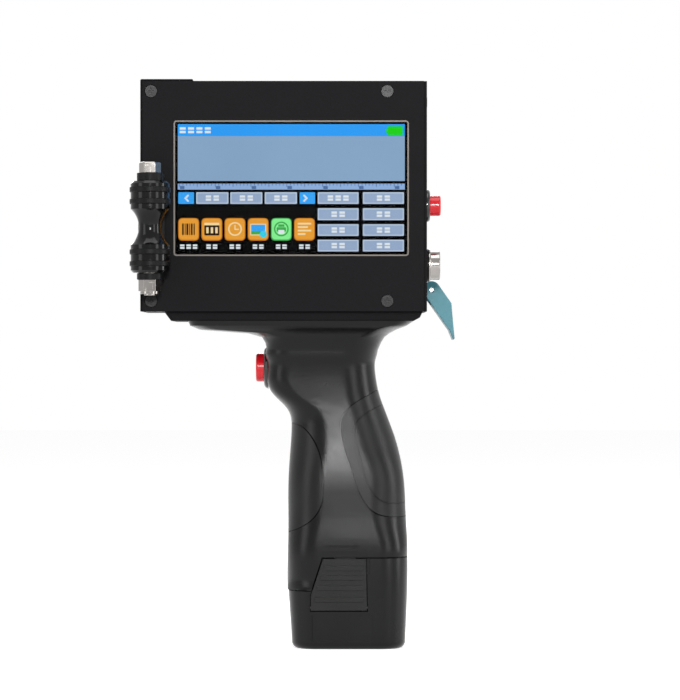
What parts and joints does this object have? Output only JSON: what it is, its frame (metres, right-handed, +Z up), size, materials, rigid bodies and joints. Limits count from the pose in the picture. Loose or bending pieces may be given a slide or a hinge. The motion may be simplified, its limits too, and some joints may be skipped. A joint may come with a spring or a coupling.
{
  "type": "handheld date code inkjet printer",
  "caption": "Handheld inkjet coding printer: box head with touch screen, guide rollers and ink cartridge bay on a pistol grip with trigger and slide-in battery.",
  "frame": {"origin": "centre of the flat underside of the battery case, on which the printer stands", "axes": "+Z up, -X towards the printed surface, -Y on the screen side"},
  "size_m": [0.1364, 0.101, 0.2394],
  "materials": {
    "black_metal": "fine matte powder coat",
    "bare_aluminium": "milled sheet",
    "black_steel": "blackened steel",
    "bright_steel": "zinc plated",
    "window_rim": "satin edge",
    "touch_glass": "clear, tinted",
    "screen": "display panel",
    "circuit_board": "solder mask",
    "dark_chips": "moulded packages",
    "brass": "turned",
    "black_gloss": "polished",
    "red_plastic": "polished red",
    "chrome": "plated",
    "black_plastic": "satin",
    "black_rubber": "matte rubber",
    "cartridge_plastic": "satin",
    "teal_plastic": "satin teal",
    "handle_plastic": "satin moulded",
    "grip_rubber": "fine textured",
    "cell_metal": "sleeved cells"
  },
  "bodies": {
    "printer_frame": {"base_plate": "black_metal", "base_plate_screws": "bright_steel", "battery_terminal_block": "black_plastic", "board_components": "dark_chips", "board_screws": "bright_steel", "board_standoffs": "brass", "bracket_screws": "black_steel", "cartridge_cradle": "black_plastic", "chassis_plate": "bare_aluminium", "connector_gasket": "black_rubber", "connector_insert": "black_plastic", "connector_nut": "bright_steel", "connector_shell": "chrome", "contact_block": "black_plastic", "cover_screws": "black_steel", "encoder_sensor_board": "circuit_board", "far_roller_bracket": "black_plastic", "far_side_cover": "black_metal", "front_grip_pad": "grip_rubber", "front_nozzle_plate": "black_metal", "handle_far_half": "handle_plastic", "handle_near_half": "handle_plastic", "handle_screws": "black_steel", "lcd_module": "screen", "main_board": "circuit_board", "main_housing": "black_metal", "near_roller_bracket": "black_plastic", "power_button_body": "black_gloss", "power_button_nut": "bright_steel", "rear_grip_pad": "grip_rubber", "rear_plate": "black_metal", "rear_plate_screws": "black_steel", "roller_bolts": "chrome", "roller_lock_nuts": "chrome", "screen_side_cover": "black_metal", "touch_glass": "touch_glass", "trigger_body": "black_gloss", "trigger_nut": "bright_steel", "usb_socket": "bright_steel", "window_gasket": "window_rim"},
    "trigger_cap_body": {"trigger_cap": "red_plastic"},
    "power_cap_body": {"power_button_cap": "red_plastic"},
    "near_guide_roller": {"near_roller": "black_gloss", "near_roller_rings": "black_rubber", "near_roller_bushings": "brass"},
    "far_guide_roller": {"far_roller": "black_gloss", "far_roller_rings": "black_rubber", "far_roller_bushings": "brass", "encoder_magnet_ring": "dark_chips"},
    "cartridge_latch": {"latch_lever": "teal_plastic", "latch_pin": "bright_steel"},
    "cartridge_drawer": {"cartridge_carrier": "black_plastic", "cartridge_body": "cartridge_plastic", "cartridge_nozzle_strip": "brass"},
    "battery_pack": {"battery_case": "handle_plastic", "battery_cells": "cell_metal", "battery_board": "circuit_board", "battery_case_screws": "black_steel"},
    "near_pack_latch": {"near_battery_latch": "handle_plastic"},
    "far_pack_latch": {"far_battery_latch": "handle_plastic"}
  },
  "joints": [
    {"name": "trigger_press", "type": "slide", "parent": "printer_frame", "child": "trigger_cap_body", "axis": [1, 0, 0], "range_m": [0, 0.002], "stiffness_N_per_m": 900, "springref_m": -0.001},
    {"name": "power_press", "type": "slide", "parent": "printer_frame", "child": "power_cap_body", "axis": [-1, 0, 0], "range_m": [0, 0.002], "stiffness_N_per_m": 900, "springref_m": -0.001},
    {"name": "near_roller_spin", "type": "hinge", "parent": "printer_frame", "child": "near_guide_roller", "pos_m": [-0.0826, -0.042, 0.177], "axis": [0, 0, 1], "continuous": true},
    {"name": "far_roller_spin", "type": "hinge", "parent": "printer_frame", "child": "far_guide_roller", "pos_m": [-0.0826, 0.042, 0.177], "axis": [0, 0, 1], "continuous": true},
    {"name": "latch_swing", "type": "hinge", "parent": "printer_frame", "child": "cartridge_latch", "pos_m": [0.0354, 0.016, 0.1518], "axis": [0, 1, 0], "range_deg": [-145, 0]},
    {"name": "cartridge_slide", "type": "slide", "parent": "printer_frame", "child": "cartridge_drawer", "axis": [1, 0, 0], "range_m": [0, 0.1]},
    {"name": "battery_slide", "type": "slide", "parent": "printer_frame", "child": "battery_pack", "axis": [0, 0, -1], "range_m": [0, 0.045]},
    {"name": "near_latch_press", "type": "hinge", "parent": "battery_pack", "child": "near_pack_latch", "pos_m": [-0.0044, -0.0223, 0.0176], "axis": [-1, 0, 0], "range_deg": [0, 3], "stiffness_Nm_per_rad": 0.6, "springref_deg": -2.86},
    {"name": "far_latch_press", "type": "hinge", "parent": "battery_pack", "child": "far_pack_latch", "pos_m": [-0.0044, 0.0223, 0.0176], "axis": [1, 0, 0], "range_deg": [0, 3], "stiffness_Nm_per_rad": 0.6, "springref_deg": -2.86}
  ]
}
